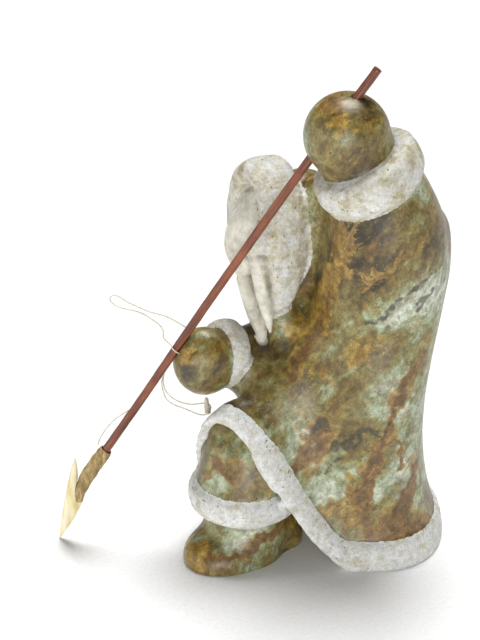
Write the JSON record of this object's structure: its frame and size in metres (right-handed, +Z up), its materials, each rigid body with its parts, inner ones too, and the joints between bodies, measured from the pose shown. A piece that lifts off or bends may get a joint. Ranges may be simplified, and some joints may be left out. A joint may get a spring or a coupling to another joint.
{
  "type": "soapstone hunter sculpture",
  "caption": "Carved soapstone hunter in a hooded parka, with a tusked face, kneeling to drive down a harpoon that has a wooden shaft, a pale head and a thin line.",
  "frame": {"origin": "under the middle of the parka, on the surface that the figure stands on", "axes": "+Z up; the figure faces -Y and its left side is +X"},
  "size_m": [0.1436, 0.2324, 0.307],
  "materials": {
    "soapstone": "polished, with frosted pale trims",
    "shaft_wood": "satin varnish",
    "antler": "rough, porous antler",
    "horn": "smooth, slightly translucent horn",
    "sinew": "dry twisted sinew"
  },
  "bodies": {
    "root": {"stone_figure": "soapstone", "harpoon_shaft": "shaft_wood", "foreshaft": "antler", "harpoon_head": "horn", "harpoon_line": "sinew", "grip_line": "sinew", "line_knot": "sinew"}
  },
  "joints": []
}
